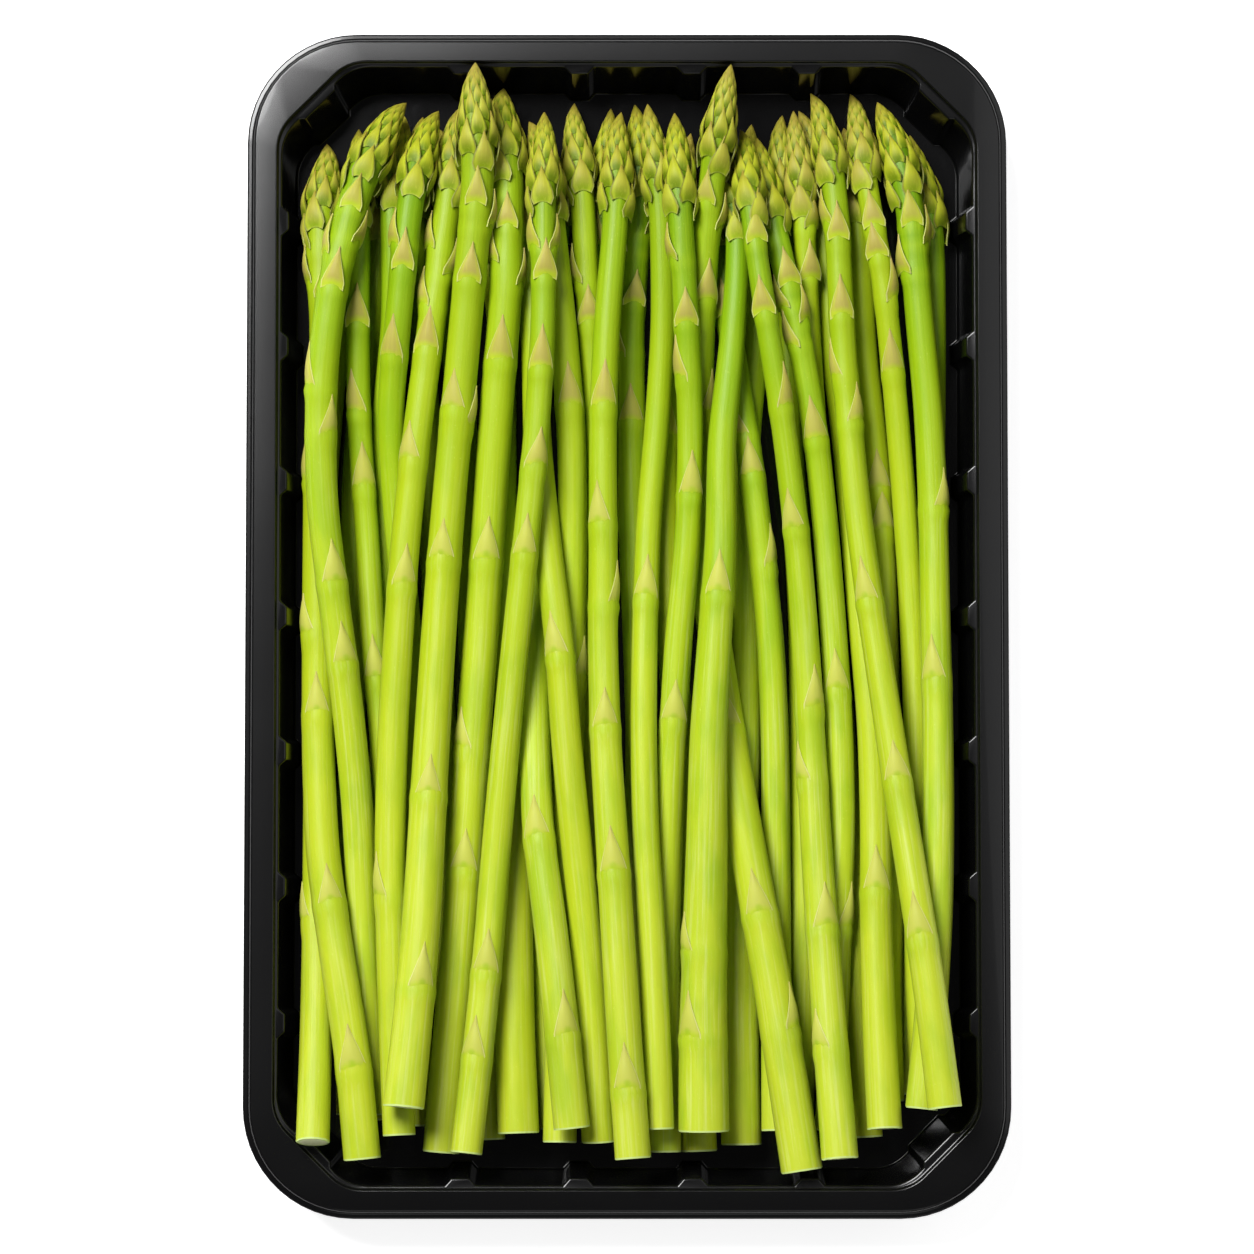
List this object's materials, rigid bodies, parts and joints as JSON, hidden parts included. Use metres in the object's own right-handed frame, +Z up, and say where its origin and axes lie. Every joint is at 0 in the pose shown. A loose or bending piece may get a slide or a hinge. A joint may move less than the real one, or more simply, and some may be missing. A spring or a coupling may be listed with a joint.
{
  "type": "bundle of asparagus",
  "caption": "Bundle of fresh green asparagus spears lying side by side, heads together, in a shallow black moulded tray.",
  "frame": {"origin": "middle of the tray's underside, on the surface that it stands on", "axes": "+Z up, +Y along the spears towards their heads, +X to the right seen from above with the heads away"},
  "size_m": [0.1522, 0.2366, 0.0295],
  "materials": {
    "tray": "black moulded sheet, glossy",
    "asparagus": "smooth waxy green skin"
  },
  "bodies": {
    "root": {"tray": "tray", "spear_01": "asparagus", "spear_02": "asparagus", "spear_03": "asparagus", "spear_04": "asparagus", "spear_05": "asparagus", "spear_06": "asparagus", "spear_07": "asparagus", "spear_08": "asparagus", "spear_09": "asparagus", "spear_10": "asparagus", "spear_11": "asparagus", "spear_12": "asparagus", "spear_13": "asparagus", "spear_14": "asparagus", "spear_15": "asparagus", "spear_16": "asparagus", "spear_17": "asparagus", "spear_18": "asparagus", "spear_19": "asparagus", "spear_20": "asparagus", "spear_21": "asparagus", "spear_22": "asparagus", "spear_23": "asparagus", "spear_24": "asparagus", "spear_25": "asparagus", "spear_26": "asparagus", "spear_27": "asparagus", "spear_28": "asparagus", "spear_29": "asparagus", "spear_30": "asparagus", "spear_31": "asparagus", "spear_32": "asparagus", "spear_33": "asparagus", "spear_34": "asparagus", "spear_35": "asparagus", "spear_36": "asparagus", "spear_37": "asparagus", "spear_38": "asparagus"}
  },
  "joints": []
}
